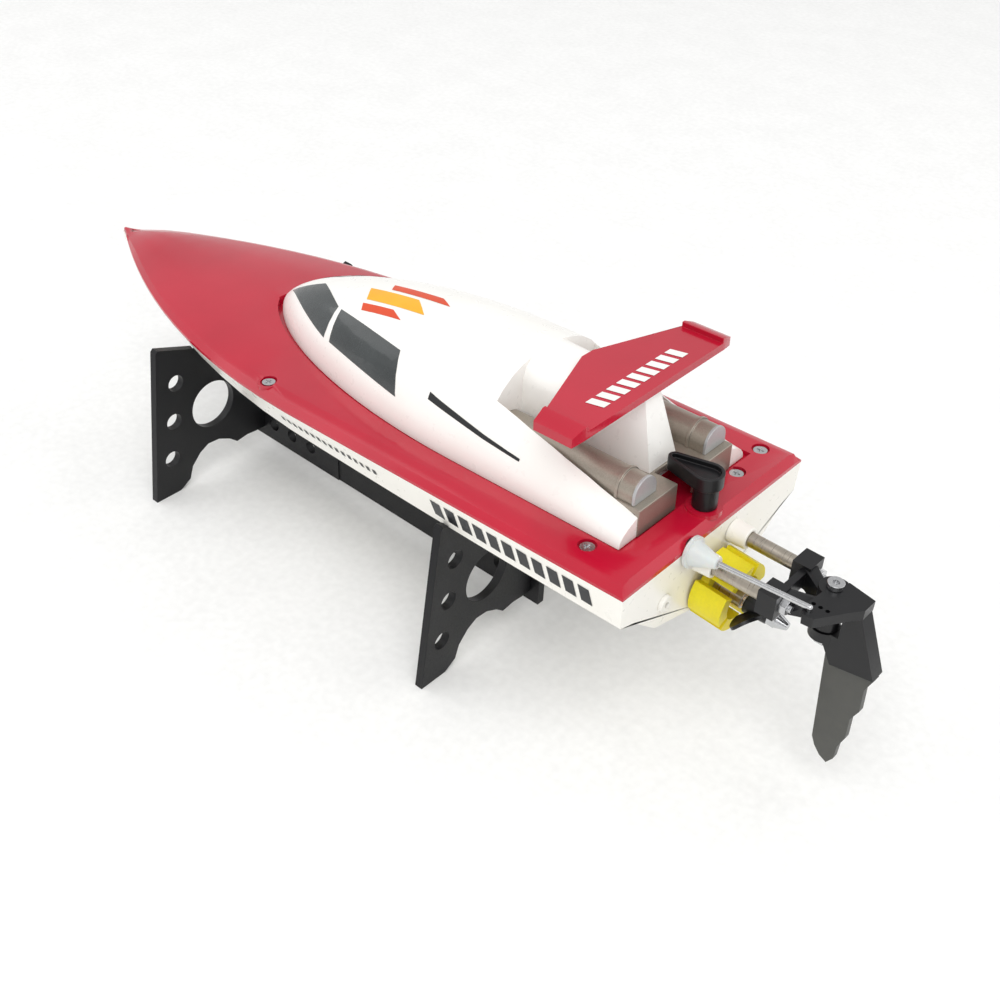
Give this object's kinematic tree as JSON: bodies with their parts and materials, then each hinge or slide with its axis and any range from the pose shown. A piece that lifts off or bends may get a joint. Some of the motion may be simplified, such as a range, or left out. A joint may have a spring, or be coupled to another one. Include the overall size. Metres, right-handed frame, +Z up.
{
  "type": "radio-controlled racing boat",
  "caption": "Radio-controlled racing boat on a two-plate stand: red deck, white hull and canopy, wing, steerable rudder, propeller.",
  "frame": {"origin": "on the ground, under the middle of the boat's length and width", "axes": "+X to the bow, +Y to port, +Z up"},
  "size_m": [0.342, 0.109, 0.1119],
  "materials": {
    "black_stand": "satin moulded plastic",
    "white_hull": "gloss moulded ABS",
    "red_deck": "gloss painted ABS",
    "white_canopy": "gloss moulded ABS",
    "grey_exhaust": "satin painted plastic",
    "grey_cap": "satin moulded plastic",
    "black_plastic": "glass-filled nylon",
    "brushed_tube": "brushed",
    "bright_steel": "polished",
    "brass": "turned",
    "yellow_rubber": "soft moulded rubber",
    "clear_silicone": "translucent silicone",
    "white_plastic": "moulded",
    "motor_steel": "rolled steel",
    "blue_case": "moulded"
  },
  "bodies": {
    "stand": {"stand_rail": "black_stand", "stand_plate_front": "black_stand", "stand_plate_rear": "black_stand"},
    "hull": {"hull_shell": "white_hull", "deck": "red_deck", "deck_screws": "bright_steel", "outrigger_tubes": "brushed_tube", "tube_collars": "white_hull", "rudder_bracket": "black_plastic", "tube_nuts": "bright_steel", "pivot_screw": "bright_steel", "stuffing_tube": "brushed_tube", "shaft_bushes": "brass", "shaft_guard": "yellow_rubber", "water_outlet": "white_plastic", "motor_can": "motor_steel", "motor_mount": "black_plastic", "inner_frame": "white_hull", "servo_case": "blue_case", "receiver_box": "black_plastic", "battery_pack": "blue_case", "battery_strap": "black_plastic", "pushrod_boot": "clear_silicone"},
    "driveline": {"motor_rotor": "motor_steel", "shaft_coupling": "brass", "propeller_shaft": "bright_steel", "propeller": "black_plastic", "propeller_nut": "bright_steel"},
    "rudder": {"rudder": "black_plastic"},
    "pushrod": {"pushrod": "bright_steel"},
    "servo_horn": {"servo_horn": "white_plastic"},
    "lock_knob": {"lock_knob": "black_plastic"},
    "canopy": {"canopy_shell": "white_canopy", "exhaust_tray": "grey_exhaust", "exhaust_pipes": "grey_exhaust", "exhaust_caps": "grey_cap", "wing": "red_deck", "wing_screws": "bright_steel"},
    "inner_lid": {"inner_lid": "white_plastic", "lid_seal": "clear_silicone"}
  },
  "joints": [
    {"name": "boat_lift", "type": "slide", "parent": "stand", "child": "hull", "axis": [0, 0, 1], "range_m": [0, 0.12]},
    {"name": "propeller_spin", "type": "hinge", "parent": "hull", "child": "driveline", "pos_m": [-0.11395, 0, 0.0548], "axis": [0.9976, 0, 0.0698], "continuous": true},
    {"name": "rudder_turn", "type": "hinge", "parent": "hull", "child": "rudder", "pos_m": [-0.15265, 0, 0.075], "axis": [0, 0, 1], "range_deg": [-30, 30], "deforming": ["pushrod_boot"]},
    {"name": "pushrod_pivot", "type": "hinge", "parent": "rudder", "child": "pushrod", "pos_m": [-0.15265, 0.0135, 0.0762], "axis": [0, 0, 1], "range_deg": [-30, 30]},
    {"name": "servo_turn", "type": "hinge", "parent": "hull", "child": "servo_horn", "pos_m": [-0.08395, 0.0105, 0.067], "axis": [0, 0, 1], "range_deg": [-30, 30]},
    {"name": "knob_turn", "type": "hinge", "parent": "hull", "child": "lock_knob", "pos_m": [-0.1083, 0, 0.07759], "axis": [0.0386, 0, 0.9993], "range_deg": [-90, 90]},
    {"name": "canopy_lift", "type": "slide", "parent": "hull", "child": "canopy", "axis": [0.0386, 0, 0.9993], "range_m": [0, 0.06]},
    {"name": "lid_lift", "type": "slide", "parent": "hull", "child": "inner_lid", "axis": [0.0386, 0, 0.9993], "range_m": [0, 0.03]}
  ],
  "couplings": [
    {"joint": "pushrod_pivot", "follows": "rudder_turn", "ratio": -1},
    {"joint": "servo_turn", "follows": "rudder_turn", "ratio": 1},
    {"joint": "lid_lift", "follows": "canopy_lift", "ratio": 0.5}
  ]
}
